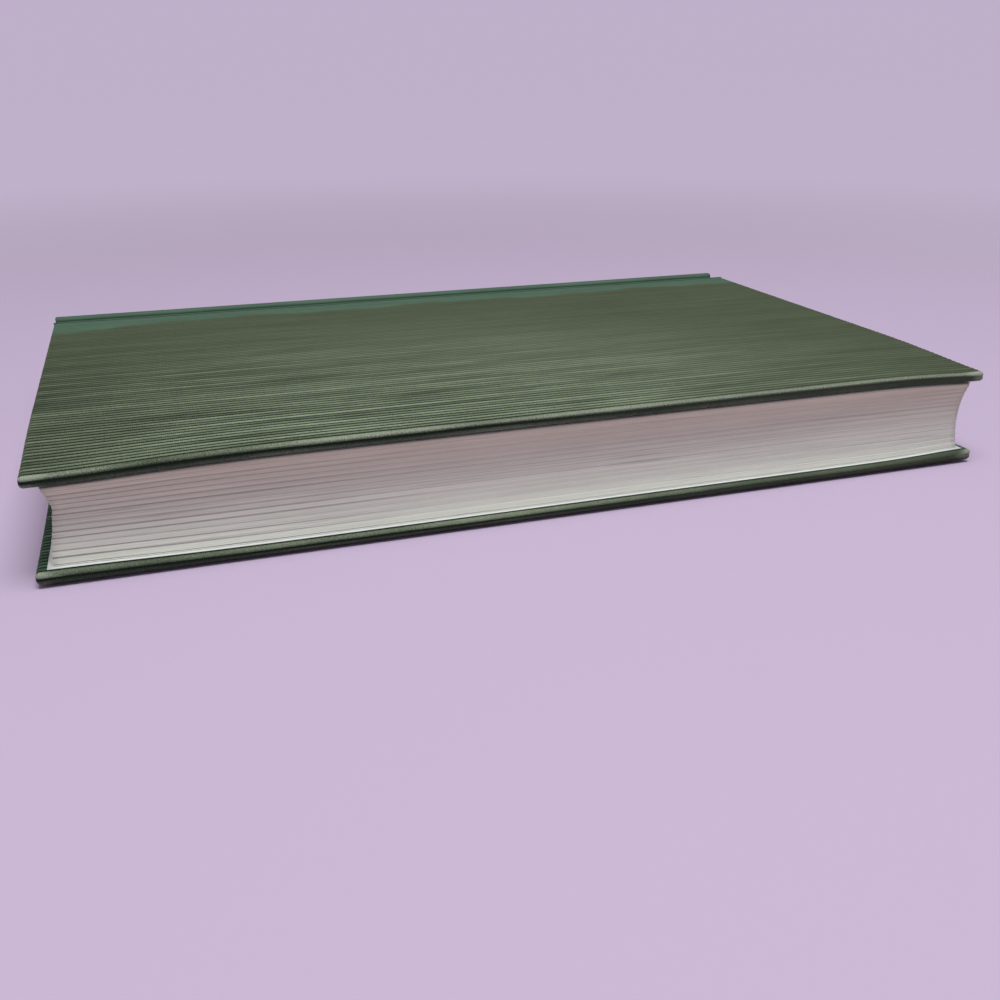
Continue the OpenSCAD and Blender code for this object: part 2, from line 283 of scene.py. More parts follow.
# %% Section of a cover
furrow_r = edge_r - cord_h
flat_cords = int((cover_w - 2 * edge_r) // cord_pitch)
flat_l = flat_cords * cord_pitch
flat_start = (cover_w - flat_l) / 2
edge_path = [
    (flat_start - edge_r, 0),
    arc(furrow_r, -90),
    (board_t - 2 * board_round, 0),
    arc(furrow_r, -90),
    (flat_start - edge_r, 0),
]
edge_l = path_length(edge_path)
edge_cords = max(2, round(edge_l / cord_pitch))
core_l = case_l / 2 - edge_r
window_l = case_l / 2 - turn_in
inner_z = book_t - cover_t
flat_count = flat_cords * len(cord_stations)
edge_count = edge_cords * len(cord_stations)


def cover_section():
    """Stations round a cover at furrow level: inner face, fore-edge, outer face, joint edge."""
    runs = [(flat_cords, cord_pitch), (edge_cords, edge_l / edge_cords)] * 2
    distance, height, lot, begun = [], [], [], 0.0
    for count, width in runs:
        along, rise, cord_lot = lay_cords(count, width)
        distance.append(begun + along)
        height.append(rise)
        lot.append(cord_lot)
        begun += count * width
    path = [(flat_l, 0)] + edge_path + [(flat_l, 0)] + edge_path
    start = (cover_w - flat_start, inner_z + cord_h, 180)
    distance = np.concatenate(distance)
    return distance, trace(start, path, distance), np.concatenate(height), np.concatenate(lot)


def roll_ball(place, reach, x_core, tip):
    """The ball rule: core place + reach * direction, where the direction tips from the section's outward normal
    towards X over the head and tail. reach is the ball's radius, one for each station or for each point."""
    outward = np.stack([-np.sin(place[:, 2]), np.cos(place[:, 2])], axis=-1)
    core = place[:, :2] - furrow_r * outward
    return np.stack(np.broadcast_arrays(
        x_core[:, None] + reach * np.sin(tip)[:, None],
        core[:, 0] + reach * np.cos(tip)[:, None] * outward[:, 0],
        core[:, 1] + reach * np.cos(tip)[:, None] * outward[:, 1],
    ), axis=-1)


def corner_rows(steps, stops=()):
    """Rows from tail to head: core places along X, and how far each row tips over the ends, in radians."""
    flat_x = np.sort(np.append(np.linspace(-core_l, core_l, steps), stops))
    tips = np.radians(np.arange(15, 91, 15))
    x_core = np.concatenate([np.full(len(tips), -core_l), flat_x, np.full(len(tips), core_l)])
    return x_core, np.concatenate([-tips[::-1], np.zeros(len(flat_x)), tips])


def mirror_cap(columns, across, base):
    """End face of a cover: each station of the outer half is joined to the one that faces it on the inner half.
    across is the number of stations round the joint edge."""
    half = np.concatenate([np.arange(columns // 2 - across // 2), np.arange(columns - across // 2, columns)])
    facing = (columns - across - half) % columns
    after = (half + 1) % columns
    facing_after = (columns - across - after) % columns
    return base + np.stack([half, after, facing_after, facing], axis=-1)


# %% [markdown]
# The dye has faded wherever light fell. Only a strip beside the joint, which a neighbour on the
# shelf kept covered, holds the first colour, and its border wanders and widens near the tail.

# %% Marks on a cover
def faded_strip(x):
    """Depth at which the faded cloth ends: 129 mm, less 7 mm near the tail, with three slow waves along X."""
    waves = 1.1 * np.sin(0.09 * x + 1.0) + 0.8 * np.sin(0.23 * x + 2.1) + 0.5 * np.sin(0.51 * x)
    return 129 + waves - 7 * smooth_step((-94 - x) / 20)


def cover_marks(points, under):
    """Marks by place: wear grows along the edges and most at the corners, fading goes round the fore-edge and stops at
    the strip, and shade is painted shade that darkens the roll turned to the pages above or to the table below. The
    upper cover is rubbed on the outer half of its edge, the lower one on the middle, and both less near the tail."""
    x, y, height = points[..., 0], points[..., 1], points[..., 2] - inner_z
    near_end = smooth_step((np.abs(x) - core_l + 2) / 3)
    near_fore = smooth_step((edge_r + 1.2 - y) / 2.2)
    near_joint = smooth_step((y - cover_w + edge_r + 1) / 2)
    # shade is painted shade on the edge's roll that faces the pages (upper cover) or the table (lower cover)
    if under:
        rubbed = smooth_step((height - 0.3) / 0.8) * (1 - smooth_step((height - 1.5) / 0.6))
        shade = near_fore * (0.35 + 1.35 * smooth_step((height - 1.35) / 0.6))
    else:
        rubbed = smooth_step((height - 1.5) / 0.7)
        shade = near_fore * (1 - smooth_step((height - 0.8) / 0.8))
    rubbed = rubbed * near_fore * (1 - 0.5 * np.exp(-((x + 84) / 20) ** 2))
    worn = np.maximum(np.maximum(0.35 * near_end, (0.4 if under else 0.62) * rubbed), 0.2 * near_joint)
    worn = worn + 0.75 * near_end * np.maximum(near_fore, near_joint)
    outside = smooth_step((height - 0.3) / 1.2)
    lit = np.maximum(outside, 0.85 * near_fore * (y < edge_r + 0.4))
    kept = smooth_step((y - faded_strip(x)) / 7 + 0.5)
    return worn.ravel(), (lit * (1 - 0.92 * kept)).ravel(), shade.ravel()


# %% Cloth and board of a cover
def cover_cloth(name, under):
    """The ball's reach is furrow radius + cord height; a cord swells and thins slowly along X, each at its own pace."""
    distance, place, height, lot = cover_section()
    x_core, tip = corner_rows(46, [-window_l, window_l])
    uneven = 1 - 0.06 * (1 + np.sin((0.05 + 0.1 * lot) * x_core[:, None] + 40 * lot))
    points = roll_ball(place, furrow_r + cord_h * height * uneven, x_core, tip)
    worn, faded, shade = cover_marks(points, under)
    if under:
        points[..., 2] = book_t - points[..., 2]
    rows, columns = points.shape[:2]
    faces = quads(rows, columns, closed=True)
    row, column = np.divmod(faces[:, 0], columns)
    middle_x = (x_core[row] + x_core[np.minimum(row + 1, rows - 1)]) / 2
    window = (column < flat_count) & (np.abs(middle_x) < window_l) & (place[column, 0] > turn_in)
    ends = [mirror_cap(columns, edge_count, base) for base in (0, (rows - 1) * columns)]
    faces = np.concatenate([faces[~window]] + ends)
    lie = np.stack(np.broadcast_arrays((x_core + edge_r * tip)[:, None], distance), axis=-1)
    piece = make_piece(
        name,
        points.reshape(-1, 3),
        faces,
        place=lie.reshape(-1, 2),
        cord=np.broadcast_to(height, (rows, columns)).ravel(),
        lot=np.broadcast_to(lot, (rows, columns)).ravel(),
        worn=worn,
        faded=faded,
        shade=shade,
    )
    skin = piece.modifiers.new("cloth thickness", "SOLIDIFY")
    skin.thickness = cloth_t * 0.8 * MM
    skin.offset = -1
    return piece


def cover_board(name, under):
    """The same ball rule with the board's rounding as reach; wide steps over the flats, fine ones round the edges."""
    distance, place = cover_section()[:2]
    flat, edge = np.arange(0, flat_count, 42), np.arange(edge_count)
    pick = np.concatenate([flat, flat_count + edge, flat_count + edge_count + flat, 2 * flat_count + edge_count + edge])
    x_core, tip = corner_rows(24)
    points = roll_ball(place[pick], board_round, x_core, tip)
    if under:
        points[..., 2] = book_t - points[..., 2]
    rows, columns = points.shape[:2]
    ends = [mirror_cap(columns, edge_count, base) for base in (0, (rows - 1) * columns)]
    return make_piece(name, points.reshape(-1, 3), np.concatenate([quads(rows, columns, closed=True)] + ends))


front_cloth = cover_cloth("front_cover_cloth_skin", under=False)
back_cloth = cover_cloth("back_cover_cloth_skin", under=True)
front_board = cover_board("front_board_sheet", under=False)
back_board = cover_board("back_board_sheet", under=True)
for side, cloth, board in (("front", front_cloth, front_board), ("back", back_cloth, back_board)):
    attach(cloth, side + "_cover")
    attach(board, side + "_cover")
    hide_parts(side + "_cover_cloth")
    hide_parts(side + "_board")

# %% [markdown]
# White endpapers hold the pages in the case: one leaf is pasted to the cover, the other lies on
# the pages. The pasted one hides the raw edges of the cloth, and because it dries tight, the
# step from the turned-in cloth down to the bare board shows through it as a soft ledge.

# %% Endpapers
def paper_sheet(name, node, body, sunk=0.0, dusty=0.0):
    """A closed sheet over the node's box. It sinks by sunk inside the turn-ins, as a product of eased steps along X and
    Y, towards the side of the cover, and comes back up at the joint; the last argument paints shadow from the upper
    cover on its fore-edge within 0.4 mm."""
    low, high = (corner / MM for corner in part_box(node))
    under = low.z < mid_z
    steps = np.array([-0.8, -0.4, 0, 0.4, 0.8])
    x = np.concatenate([np.linspace(low.x, high.x, 58), window_l + steps, -window_l + steps])
    y = np.concatenate([
        np.linspace(low.y, high.y, 38) - cover_low.y, [low.y - cover_low.y + 0.4], turn_in + steps, leaf_end - 0.9 + steps])
    x, y = np.sort(x), np.sort(y)
    across = smooth_step((y - turn_in + 0.8) / 1.6) * smooth_step((leaf_end - 0.1 - y) / 1.6)
    sink = smooth_step((window_l + 0.8 - np.abs(x)) / 1.6)[:, None] * across
    rows, count = sink.shape
    start = high.z if under else low.z
    face = start + (-1 if under else 1) * sunk * sink
    far = face + (-0.12 if under else 0.12)
    points = np.stack(np.broadcast_arrays(
        x[:, None], np.concatenate([y, y[::-1]]), np.concatenate([face, far[:, ::-1]], axis=1)), axis=-1)
    station = np.arange(count - 1)
    cap = np.stack([station, station + 1, 2 * count - 2 - station, 2 * count - 1 - station], axis=-1)
    faces = np.concatenate([quads(rows, 2 * count, closed=True), cap, cap + (rows - 1) * 2 * count])
    # painted shadow from the upper cover along the sheet's fore-edge
    dust = dusty * (1 - smooth_step((points[..., 1] - y[0]) / 0.4))
    piece = make_piece(name, points.reshape(-1, 3), faces, dust=dust.ravel())
    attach(piece, body)
    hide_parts(node)
    return piece


endpapers = [
    paper_sheet("front_pasted_leaf", "front_pastedown", "front_cover", sunk=cloth_full),
    paper_sheet("back_pasted_leaf", "back_pastedown", "back_cover", sunk=cloth_full),
    paper_sheet("front_free_leaf", "front_flyleaf", "pages", dusty=0.8),
    paper_sheet("back_free_leaf", "back_flyleaf", "pages"),
]

# %% [markdown]
# The back of the book is round, and its edges were hammered over into two ridges that stand up
# to the level of the boards. Between each ridge and its board lies the joint, a groove in which
# the cloth is free to bend. The same few radii draw the back of the pages and, a little further
# out, the case, so the layers between them keep their distance all the way round.

# %% Section of the back
crest_z = back_high.z
ridge_y = cover_w + joint_w
ridge_z = crest_z - cloth_full - mull_t - ridge_r
foot_z = face_z + shoulder_r
foot_y = ridge_y - math.sqrt((ridge_r + shoulder_r) ** 2 - (foot_z - ridge_z) ** 2)
shoulder_turn = math.degrees(math.acos((foot_z - ridge_z) / (ridge_r + shoulder_r)))
ridge_h = ridge_z - mid_z
back_r = ridge_r + (ridge_h ** 2 + back_bulge ** 2) / (2 * back_bulge)
back_y = ridge_y - math.sqrt((back_r - ridge_r) ** 2 - ridge_h ** 2)
back_half = math.degrees(math.atan2(ridge_h, ridge_y - back_y))
case_r = case_depth - back_y
crest_h = crest_z - mid_z
cap_r = (case_r ** 2 - (ridge_y - back_y) ** 2 - crest_h ** 2) / (2 * (case_r - crest_h))
case_half = math.degrees(math.atan2(crest_h - cap_r, ridge_y - back_y))
print(f"round back: radius {back_r:.2f} mm, ridges turn up by {shoulder_turn:.1f} degrees")


def shoulder_and_ridge(lift):
    """The rise from the joint to the top of the ridge, lift above the pages."""
    return [arc(shoulder_r - lift, shoulder_turn), arc(ridge_r + lift, -shoulder_turn)]


# %% Strips that run from tail to head
def strip(name, start, path, distance, rise, ends, rows=61, under=False, **marks):
    """A strip that follows a path: inner face on it, outer face rise to its left, carried along X, closed all round.
    marks are given for each station."""
    y, z, heading = trace(start, path, distance).T
    outer = np.stack([y - rise * np.sin(heading), z + rise * np.cos(heading)], axis=-1)
    inner = np.stack([y, z], axis=-1)
    section = np.concatenate([outer, inner[::-1]])
    if under:
        section[:, 1] = book_t - section[:, 1]
    x = np.linspace(ends[0], ends[1], rows)
    count, columns = len(distance), 2 * len(distance)
    points = np.concatenate([
        np.broadcast_to(x[:, None, None], (rows, columns, 1)),
        np.broadcast_to(section, (rows, columns, 2)),
    ], axis=-1)
    station = np.arange(count - 1)
    cap = np.stack([station, station + 1, columns - 2 - station, columns - 1 - station], axis=-1)
    faces = np.concatenate([quads(rows, columns, closed=True), cap, cap + (rows - 1) * columns])
    there_and_back = np.concatenate([distance, distance[::-1]])
    lie = np.stack(np.broadcast_arrays(x[:, None], there_and_back), axis=-1)
    spread = {
        mark: np.broadcast_to(np.concatenate([values, values[::-1]]), (rows, columns)).ravel()
        for mark, values in marks.items()
    }
    return make_piece(name, points.reshape(-1, 3), faces, place=lie.reshape(-1, 2), **spread)


# %% [markdown]
# The joint has to bend when a cover opens. A paper lining goes with it on the inside, and a
# second paper stays on the pages, as the two leaves of an endpaper do.

# %% Cloth and paper of the joints
paper_lift = 0.02
groove_r = 1.2
joint_lift = mull_t + 0.09
groove_z = face_z + joint_lift
joint_start = (cover_w - edge_r - 0.3, book_t - 0.02, 0)
joint_path = [
    (0.3, 0),
    arc(edge_r - 0.02, -90),
    (book_t - edge_r - groove_r - groove_z, 0),
    arc(groove_r, 90),
    (foot_y - cover_w + 0.02 - groove_r, 0),
] + shoulder_and_ridge(joint_lift)
joint_l = path_length(joint_path)
joint_cords = round(joint_l / cord_pitch)


def joint_cloth(name, under):
    """Corded strip from the cover's edge to the ridge; its thickness grows from nothing over the first 2 mm."""
    distance, height, lot = lay_cords(joint_cords, joint_l / joint_cords)
    distance, height, lot = np.append(distance, joint_l), np.append(height, 0), np.append(lot, lot[-1])
    begun = smooth_step(distance / 2)
    rise = begun * (cloth_full - joint_lift + mull_t - cord_h) + cord_h * height * (0.3 + 0.7 * begun)
    piece = strip(name, joint_start, joint_path, distance, rise + 0.01, (-case_l / 2, case_l / 2), under=under,
        cord=height, lot=lot, worn=0.25 * np.exp(-((distance - joint_l) / 2) ** 2), faded=0.2 * (1 - begun))
    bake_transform(piece)
    return piece


def hinge_lining(name, under):
    """Paper under the joint cloth, from the pastedown's edge to the ridge."""
    lift = mull_t + 0.05
    path = [(foot_y - leaf_end + 0.6, 0)] + shoulder_and_ridge(lift)
    distance = np.linspace(0, path_length(path), 40)
    start = (leaf_end - 0.6, face_z + lift, 0)
    piece = strip(name, start, path, distance, np.full(40, paper_lift), (-block_l / 2, block_l / 2), under=under)
    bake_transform(piece)
    return piece


def hinge_leaf(name, under):
    """Paper on the pages, from the flyleaf's edge up the shoulder to the ridge."""
    lift = mull_t + 0.01
    path = [(foot_y - leaf_end + 0.3, 0)] + shoulder_and_ridge(lift)
    distance = np.linspace(0, path_length(path), 40)
    start = (leaf_end - 0.3, face_z + lift, 0)
    piece = strip(name, start, path, distance, np.full(40, paper_lift), (-block_l / 2, block_l / 2), under=under)
    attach(piece, "pages")
    return piece


joint_pieces = [
    joint_cloth("front_joint_cloth", under=False),
    joint_cloth("back_joint_cloth", under=True),
]
hinge_papers = [
    hinge_lining("front_hinge_lining", under=False),
    hinge_lining("back_hinge_lining", under=True),
    hinge_leaf("front_hinge_leaf", under=False),
    hinge_leaf("back_hinge_leaf", under=True),
]

# %% [markdown]
# Over the back the cloth runs from ridge to ridge and is turned in at the head and the tail, so
# that no cut edge shows. The turn-in is drawn as its own fold: a closed loop of points, seen
# along the back, that is carried round the same arc as the cloth.

# %% Cloth of the back
spine_start = (ridge_y, crest_z - cloth_full, 0)
cap_turn = 90 - case_half
spine_path = [arc(cap_r - cloth_full, -cap_turn), arc(case_r - cloth_full, -2 * case_half), arc(cap_r - cloth_full, -cap_turn)]
spine_l = path_length(spine_path)
spine_cords = round(spine_l / cord_pitch)


def back_turn_in(name, side):
    """A fold round the inlay's end: over the end, then 12 mm inside, carried round the back's arc."""
    back_l = path_length(spine_path[1:2])
    lead = path_length(spine_path[:1])
    count = round(back_l / cord_pitch)
    distance, height, lot = lay_cords(count, back_l / count)
    distance, height, lot = np.append(distance, back_l), np.append(height, 0), np.append(lot, lot[-1])
    y, z, heading = trace(spine_start, spine_path, lead + distance).T
    inside = -inlay_t - cloth_t
    turn = np.radians(np.linspace(90, -90, 9))
    half_t = (cloth_t - inside) / 2
    loop_x = np.concatenate([half_t * np.cos(turn) * 0.6, [-12.0, -12.0, -0.1, -0.1]])
    loop_h = np.concatenate([inside + half_t + half_t * np.sin(turn), [inside, -inlay_t, -inlay_t, 0.0]])
    corded = np.concatenate([np.clip(np.cos(turn / 2) * 1.4 - 0.2, 0, 1) * (turn > -1.2), np.zeros(4)])
    x = side * (case_l / 2 - half_t * 0.6 + loop_x)
    rise = loop_h[:, None] + cord_h * height * corded[:, None]
    points = np.stack([
        np.broadcast_to(x[:, None], rise.shape),
        y - rise * np.sin(heading),
        z + rise * np.cos(heading),
    ], axis=-1)
    points = points.transpose(1, 0, 2)
    rows, columns = points.shape[:2]
    faces = quads(rows, columns, closed=True)
    loop = [list(range(columns)), list(range((rows - 1) * columns, rows * columns))]
    lie = np.stack(np.broadcast_arrays(x[None, :], lead + distance[:, None]), axis=-1)
    piece = make_piece(name, points.reshape(-1, 3), faces.tolist() + loop, place=lie.reshape(-1, 2),
        cord=np.broadcast_to(height[:, None], (rows, columns)).ravel(),
        lot=np.broadcast_to(lot[:, None], (rows, columns)).ravel(),
        worn=np.broadcast_to(0.6 * corded, (rows, columns)).ravel(),
        faded=np.full(rows * columns, 0.1))
    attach(piece, "pages")
    return piece


spine_distance, spine_height, spine_lot = lay_cords(spine_cords, spine_l / spine_cords)
spine_distance, spine_height = np.append(spine_distance, spine_l), np.append(spine_height, 0)
spine_cloth = strip(
    "spine_cloth_skin",
    spine_start,
    spine_path,
    spine_distance,
    cloth_t + cord_h * spine_height,
    (-case_l / 2 + 0.25, case_l / 2 - 0.25),
    rows=81,
    cord=spine_height,
    lot=np.append(spine_lot, spine_lot[-1]),
    worn=0.3 * np.exp(-(spine_distance / 2.5) ** 2) + 0.3 * np.exp(-((spine_l - spine_distance) / 2.5) ** 2),
    faded=np.full(len(spine_distance), 0.15),
)
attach(spine_cloth, "pages")
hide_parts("spine_cloth")
turn_ins = [back_turn_in("head_turn_in", 1), back_turn_in("tail_turn_in", -1)]

# %% [markdown]
# The pages are one block. Its fore-edge is hollow, because the back was rounded after the
# edges had been cut, and so the leaves step back one behind the other. Gatherings of folded
# sheets show as bands between fine furrows, and inside each band single leaves stand out or
# fall back by a few hundredths of a millimetre, which draws the fine lines of a cut edge.

# %% Section of the block
leaf_lines = np.random.default_rng(21)
lines_in_gathering = 16
fore_lean = fore_back - fore_front
fore_chord = math.hypot(fore_lean, block_t)
fore_r = (fore_chord ** 2 / 4 + fore_hollow ** 2) / (2 * fore_hollow)
fore_arc_y = (fore_front + fore_back) / 2 - (fore_r - fore_hollow) * block_t / fore_chord
fore_arc_z = mid_z - (fore_r - fore_hollow) * fore_lean / fore_chord


def fore_at(z):
    """Depth of the hollow fore-edge at height z: centre + sqrt(radius^2 - (z - centre height)^2)."""
    return fore_arc_y + np.sqrt(fore_r ** 2 - (z - fore_arc_z) ** 2)


def leaf_edges(x):
    """How far each line of leaves stands in (y), how much shorter it is at the tail (x), and a mark of painted shade
    for the furrows and the top leaves. A gathering keeps part of its square front, so that the hollow is stepped, and
    its furrow is drawn in, deeper near the tail, where the book was opened most. At the tail the middle gatherings have
    slipped in by up to 1.2 mm. The first leaves under the cover have drawn back by half a millimetre and are darkened
    by painted shadow from the cover. Towards the head the hollow is a third shallower."""
    count = gatherings * lines_in_gathering + 1
    z = np.linspace(back_face_z, face_z, count)
    share = np.clip((z - back_face_z) / block_t, 0, 1 - 1e-9) * gatherings
    gathering = share.astype(int)
    within = share - gathering
    middle_z = back_face_z + (gathering + 0.5) * block_t / gatherings
    step = fore_at(middle_z) - fore_at(z)
    furrow = np.exp(-(np.minimum(within, 1 - within) * block_t / gatherings / 0.15) ** 2)
    depth = leaf_lines.uniform(0.1, 0.22, gatherings + 1)[np.round(share).astype(int)]
    single = leaf_lines.normal(0, 0.016, count)
    opened = 0.3 + 0.7 * smooth_step((-x - 10) / 80)[:, None]
    chord = fore_front + fore_lean * (face_z - z) / block_t
    flatter = 0.36 * smooth_step((x - 60) / 52)[:, None] * (fore_at(z) - chord)
    stand_in = fore_at(z) - flatter + 0.45 * step + opened * furrow * depth + single
    down = (face_z - middle_z) / block_t
    slipped = 1.25 * smooth_step(down / 0.32) * (1 - smooth_step((down - 0.32) / 0.68)) - 0.3 * smooth_step(down)
    slipped = slipped + leaf_lines.uniform(0.0, 0.2, gatherings)[gathering]
    # painted shadow from the upper cover on the top leaves; the same share also draws them back by half a millimetre
    dusty = np.exp(-((face_z - z) / 0.3) ** 2)
    marks = opened * furrow * depth / 0.22 + 1.5 * dusty
    return z, stand_in + 0.5 * dusty, slipped + 2 * np.abs(single) + furrow * 0.15, marks


# %% Text block
def text_block():
    """Rows run along X; columns go up the fore-edge, over the front face, round the back and home along the back face."""
    lift = [(foot_y - cover_w, 0)] + shoulder_and_ridge(0)
    fall = [(length, turn) for length, turn in reversed(lift)]
    ridge_fall = arc(ridge_r, back_half - 90)
    path = lift + [ridge_fall, arc(back_r, -2 * back_half), ridge_fall] + fall
    distance = np.linspace(0, path_length(path), 150)
    back = trace((cover_w, face_z, 0), path, distance)[:, :2]
    flat_y = leaf_end - 0.5
    x = np.linspace(-block_l / 2, block_l / 2, 96)
    z, fore, short, seam = leaf_edges(x)
    rows, lines = fore.shape
    home = np.concatenate([[[flat_y, face_z]], back, [[flat_y, back_face_z]]])
    y = np.concatenate([fore, np.broadcast_to(home[:, 0], (rows, len(home)))], axis=1)
    height = np.concatenate([z, home[:, 1]])
    cut = np.concatenate([short, np.zeros(len(home))])
    slip = 1 - smooth_step((x + block_l / 2) / 30)
    slip[-1] = -0.12
    points = np.stack(np.broadcast_arrays(x[:, None] + slip[:, None] * cut, y, height), axis=-1)
    columns = points.shape[1]
    body = points.reshape(-1, 3)
    faces = quads(rows, columns, closed=True)
    extra, ends = [], []
    for base in (0, (rows - 1) * columns):
        column = body[base:base + lines].copy()
        column[:, 0], column[:, 1] = body[base + lines, 0], flat_y
        first = len(body) + sum(len(part) for part in extra)
        extra.append(column[1:-1])
        inner = np.concatenate([[base + columns - 1], first + np.arange(lines - 2), [base + lines]])
        outer = base + np.arange(lines)
        ends += np.stack([outer[:-1], outer[1:], inner[1:], inner[:-1]], axis=-1).tolist()
        ends.append(inner.tolist() + (base + lines + 1 + np.arange(len(back))).tolist())
    marks = np.zeros((rows, columns))
    marks[:, :lines] = seam
    marks = np.concatenate([marks.ravel(), np.zeros(2 * (lines - 2))])
    return make_piece("text_block_leaves", np.concatenate([body] + extra), faces.tolist() + ends, seam=marks)


block = text_block()
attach(block, "pages")
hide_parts("text_block")

# %% [markdown]
# Head and tail bands are small rolls of thread, worked in two colours over a core, that close
# the gap between the pages and the hollow back. A roll carried along the round back makes the
# core, and a fine ripple along it stands for the single turns of thread. Below it hangs a short
# tape, by which the binder glues the band to the lining.

# %% Head and tail bands
band_stop = 1.0
glue_t = 0.02
tape_t = 0.15
roll_r = 0.79
thread_w = 0.42
tape_l = block_l / 2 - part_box("head_band")[0].x / MM
tape_r = back_r + mull_t + lining_t + glue_t
band_half = math.radians(back_half) - band_stop / back_r


def band(name, side):
    """Two closed tubes along the back's arc. The roll is a ring for every quarter thread, its radius times
    0.94 + 0.06 * |sin|; the tape is a flat ring that reaches down the lined back."""
    centre_r = tape_r + tape_t / 2 - band_r
    turns = int(2 * band_half * centre_r / thread_w)
    along = np.linspace(0, turns, 4 * turns + 1)
    angle = band_half * (2 * along / turns - 1)
    around = np.linspace(0, 2 * np.pi, 17)[:-1]
    radius = roll_r * (0.94 + 0.06 * np.abs(np.sin(np.pi * along)))[:, None]
    out = centre_r + radius * np.cos(around)
    high = block_l / 2 + band_r + radius * np.sin(around)
    tape_out = np.broadcast_to(tape_r + np.array([0, tape_t, tape_t, 0]), (len(along), 4))
    tape_high = np.broadcast_to(block_l / 2 + np.array([0.7, 0.7, -tape_l, -tape_l]), (len(along), 4))
    points, faces, places = [], [], []
    for far, rise in ((out, high), (tape_out, tape_high)):
        ring = np.stack([side * rise, back_y + far * np.cos(angle)[:, None], mid_z + far * np.sin(angle)[:, None]], axis=-1)
        rows, columns = far.shape
        begun = sum(len(part) for part in points)
        shell = quads(rows, columns, closed=True).tolist() + [list(range(columns)), list(range((rows - 1) * columns, rows * columns))]
        faces += [[corner + begun for corner in face] for face in shell]
        points.append(ring.reshape(-1, 3))
        places.append(np.stack(np.broadcast_arrays(along[:, None], np.arange(columns)), axis=-1).reshape(-1, 2))
    piece = make_piece(name, np.concatenate(points), faces, place=np.concatenate(places))
    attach(piece, "pages")
    return piece


bands = [band("head_band_roll", 1), band("tail_band_roll", -1)]
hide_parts("head_band")
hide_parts("tail_band")
print(f"band tapes reach {tape_l:.1f} mm down the back, rolls of radius {roll_r} mm")

# %% [markdown]
# Finishes are built from nodes. A small helper adds one node at a time and links what it is
# given, so a material reads from top to bottom as a recipe.

# %% Node helper
def node(tree, kind, inputs=None, **settings):
    """One shader node: inputs are numbers, colours or sockets to link, settings are the node's own options."""
    made = tree.nodes.new("ShaderNode" + kind)
    for key, value in settings.items():
        setattr(made, key, value)
    for key, value in (inputs or {}).items():
        if isinstance(value, bpy.types.NodeSocket):
            tree.links.new(value, made.inputs[key])
        else:
            made.inputs[key].default_value = value
    return made


def math_node(tree, operation, first, second=0.0, third=0.0):
    return node(tree, "Math", {0: first, 1: second, 2: third}, operation=operation).outputs[0]


def mix_colour(tree, share, first, second, blend="MIX"):
    made = node(tree, "Mix", {0: share, 6: first, 7: second}, data_type="RGBA", blend_type=blend)
    return made.outputs[2]


def ramp(tree, value, low, high, to_low=0.0, to_high=1.0):
    """Maps a value from one range to another, eased at both ends and clipped."""
    made = node(tree, "MapRange", {0: value, 1: low, 2: high, 3: to_low, 4: to_high}, interpolation_type="SMOOTHSTEP")
    return made.outputs[0]


def noise(tree, vector, scale, detail=2.0, roughness=0.5):
    made = node(tree, "TexNoise", {"Vector": vector, "Scale": scale, "Detail": detail, "Roughness": roughness})
    return made.outputs["Fac"]


def stretch(tree, vector, factors):
    """Multiplies a coordinate by one factor for each axis, which stretches a pattern."""
    return node(tree, "VectorMath", {0: vector, 1: factors}, operation="MULTIPLY").outputs[0]


def new_group(name, inputs, outputs):
    """A node group with named sockets: inputs as {name: default}, outputs as {name: socket type}."""
    group = bpy.data.node_groups.new(name, "ShaderNodeTree")
    for label, default in inputs.items():
        kind = "NodeSocketColor" if isinstance(default, tuple) else "NodeSocketFloat"
        group.interface.new_socket(label, in_out="INPUT", socket_type=kind).default_value = default
    for label, kind in outputs.items():
        group.interface.new_socket(label, in_out="OUTPUT", socket_type=kind)
    return group, group.nodes.new("NodeGroupInput").outputs, group.nodes.new("NodeGroupOutput").inputs


def new_material(name):
    material = bpy.data.materials.new(name)
    material.use_nodes = True
    return material, material.node_tree, material.node_tree.nodes["Principled BSDF"]


def place_group(tree, group, values):
    made = tree.nodes.new("ShaderNodeGroup")
    made.node_tree = group
    for label, value in values.items():
        made.inputs[label].default_value = value
    return made


def bump(tree, height, distance, strength):
    return node(tree, "Bump", {"Height": height, "Distance": distance, "Strength": strength}).outputs[0]


# %% [markdown]
# Corded cloth has three scales. The cords themselves are in the mesh. Fine threads cross them
# every 0.4 mm and give a speckled, slightly fuzzy face. Over the whole sheet the dye has faded
# where light reached it: outer faces have turned olive, while the joints and the turned-in
# margins keep the first blue-green. On the outer faces a painted pool of light keeps the olive
# palest near the middle of the fore-edge, and painted shade darkens it further off. Edges and
# corners are rubbed pale. The furrows are painted dark, as painted shade with some deeper dye,
# in some more than in others, so long streaks run from tail to head; towards the head and the
# back the painted furrow shade is weaker and the streaks are fainter.

# %% Corded weave group
FLOAT, COLOUR = "NodeSocketFloat", "NodeSocketColor"
weave, given, put = new_group(
    "corded_weave",
    {"Faded": (0.1, 0.1, 0.1, 1), "Painted_far_shade": (0.1, 0.1, 0.1, 1), "Fresh": (0.1, 0.1, 0.1, 1),
     "Furrow": (0.0, 0.0, 0.0, 1), "Rubbed": (0.5, 0.5, 0.5, 1)},
    {"Colour": COLOUR, "Roughness": FLOAT, "Height": FLOAT},
)
lie = node(weave, "UVMap", uv_map="cloth_place").outputs[0]
along = node(weave, "SeparateXYZ", {0: lie}).outputs[0]
place = node(weave, "TexCoord").outputs["Object"]
cord = node(weave, "Attribute", attribute_name="cord").outputs["Fac"]
worn = node(weave, "Attribute", attribute_name="worn").outputs["Fac"]
faded = node(weave, "Attribute", attribute_name="faded").outputs["Fac"]
